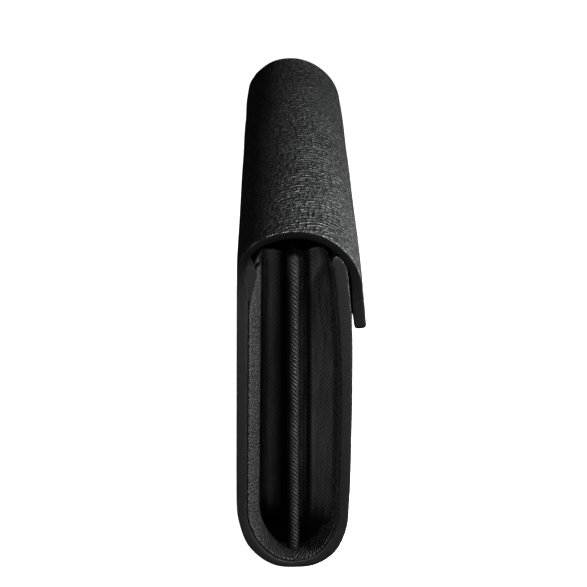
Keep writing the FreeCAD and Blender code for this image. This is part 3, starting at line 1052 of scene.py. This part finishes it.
def build_divider():
    """The leather folded over the divider's top edge."""
    low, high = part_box("divider_leather")
    half_thick, half_long = (high.y - low.y) / 2 / MM, high.x / MM
    bottom = low.z / MM + 0.2
    straight = high.z / MM - half_thick - bottom
    path = Path((-half_thick, bottom), 90, wall_side=-1).run(straight).turn(half_thick, -180).run(straight)
    distances = np.unique(np.concatenate([np.linspace(0, path.length(), 150),
                                          np.linspace(-2.5, 2.5, 15) + path.length() / 2]))
    x = np.concatenate([[-half_long, -half_long + 0.1], np.linspace(-half_long + 0.6, half_long - 0.6, 40),
                        [half_long - 0.1, half_long]])
    near_rows, far_rows = [], []
    for s in distances:
        point, inward = path.at(s)
        swell = 0.06 * waves(x, s, 31, 26.0) * smooth(half_long - np.abs(x), 1, 8)
        for depths, rows in ((swell, near_rows), (np.full(len(x), DIVIDER_WALL), far_rows)):
            rows.append(in_frame(x, point[0] + inward[0] * depths, point[1] + inward[1] * depths))
    piece = solid("divider_cover", np.array(near_rows), np.array(far_rows), distances, x, (LOOKS["lining"],))
    keep(piece, ["divider_leather"], body="divider")


def dress_frame():
    """Materials of the CAD nodes that stay."""
    for node, look in (("divider_board", "board"), ("front_keepers", "steel"), ("flap_magnets", "magnet")):
        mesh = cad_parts[node].data
        mesh.materials.clear()
        mesh.materials.append(LOOKS[look])


# The studio
def build_floor():
    """A pale floor that rises far away on every side, as a lit white sweep does."""
    line = np.linspace(-FLOOR_REACH, FLOOR_REACH, FLOOR_STEPS)
    points = [(x, y, FLOOR_RIM * float(smooth(max(abs(x), abs(y)), FLOOR_FLAT, FLOOR_REACH)) ** 2)
              for y in line for x in line]
    corners = [j * FLOOR_STEPS + i for j in range(FLOOR_STEPS - 1) for i in range(FLOOR_STEPS - 1)]
    mesh = bpy.data.meshes.new("studio_floor")
    mesh.from_pydata(points, [], [(c, c + 1, c + FLOOR_STEPS + 1, c + FLOOR_STEPS) for c in corners])
    mesh.materials.append(studio_white())
    floor = bpy.data.objects.new("studio_floor", mesh)
    bpy.context.scene.collection.objects.link(floor)
    floor.visible_diffuse = False
    floor.visible_glossy = False


def build_lights():
    aim = Vector((-HALF_LENGTH * MM, 0, AIM_HEIGHT))
    for name, (place, size, power) in SOFTBOXES.items():
        light = bpy.data.lights.new(name, "AREA")
        light.shape = "RECTANGLE"
        light.size = light.size_y = size
        light.energy = power
        lamp = bpy.data.objects.new(name, light)
        lamp.location = place
        lamp.rotation_euler = (aim - Vector(place)).to_track_quat("-Z", "Y").to_euler()
        bpy.context.scene.collection.objects.link(lamp)
    world = bpy.data.worlds.new("studio")
    world.use_nodes = True
    world.node_tree.nodes["Background"].inputs["Color"].default_value = (*(WORLD_GREY,) * 3, 1)
    bpy.context.scene.world = world
    bpy.context.scene.view_settings.view_transform = "Standard"


def build_camera():
    """Looks along the case from its near end, a little from above."""
    camera = bpy.data.cameras.new("camera")
    camera.lens = CAMERA_LENS
    camera.clip_start = 0.01
    holder = bpy.data.objects.new("camera", camera)
    holder.location = CAMERA_PLACE
    elevation, swing = math.radians(CAMERA_ELEVATION), math.radians(CAMERA_SWING)
    ahead = Vector((math.cos(elevation) * math.cos(swing), -math.cos(elevation) * math.sin(swing),
                    -math.sin(elevation)))
    holder.rotation_euler = ahead.to_track_quat("-Z", "Y").to_euler()
    bpy.context.scene.collection.objects.link(holder)
    bpy.context.scene.camera = holder


FLAP_BENDS = {
    "hinge": flap_bend("back", "flap_rear", HINGE, HINGE_BEND_BEFORE, HINGE_BEND_AFTER),
    "top": flap_bend("flap_rear", "flap_crest", CREST),
    "front": flap_bend("flap_crest", "flap_tip", SHOULDER),
}
LOOKS = {
    "outer": cross_grain_leather(),
    "edge": edge_paint(),
    "flap_edge": flap_edge_paint(),
    "lining": lining_leather(),
    "flank": flank_leather(),
    "ridge": stretched_leather(),
    # The two pleats are one leather: the rear pleat's copy is painted darker and the front pleat's lighter,
    # as painted shade and painted light.
    "pleat": pleat_leather("gusset_pleat_leather", 0.12, 0.62, 0.0005, (0.030, 0.030, 0.0302),
                           ((0.02, 1.0), (0.5, 0.12)), ((0.05, 0.15), (0.2, 1.0), (0.65, 1.1), (0.95, 1.5))),
    "chevron": pleat_leather("gusset_chevron_leather", 0.24, 0.54, 0.002, (0.072, 0.072, 0.0722),
                             ((0.42, 1.0), (0.6, 0.15), (0.7, 0.12), (0.76, 0.7), (1.0, 0.55)),
                             ((0.06, 0.1), (0.22, 0.85), (0.4, 1.0), (0.65, 1.0), (0.95, 0.65))),
    "board": board_stock(),
    "steel": plated_metal("keeper_steel", (0.42, 0.42, 0.41), (0.62, 0.61, 0.6)),
    "magnet": plated_metal("magnet_nickel", (0.55, 0.54, 0.52), (0.72, 0.71, 0.69)),
}

build_camera()
build_floor()
build_lights()
build_back()
build_front()
build_flap()
build_divider()
build_gussets()
dress_frame()
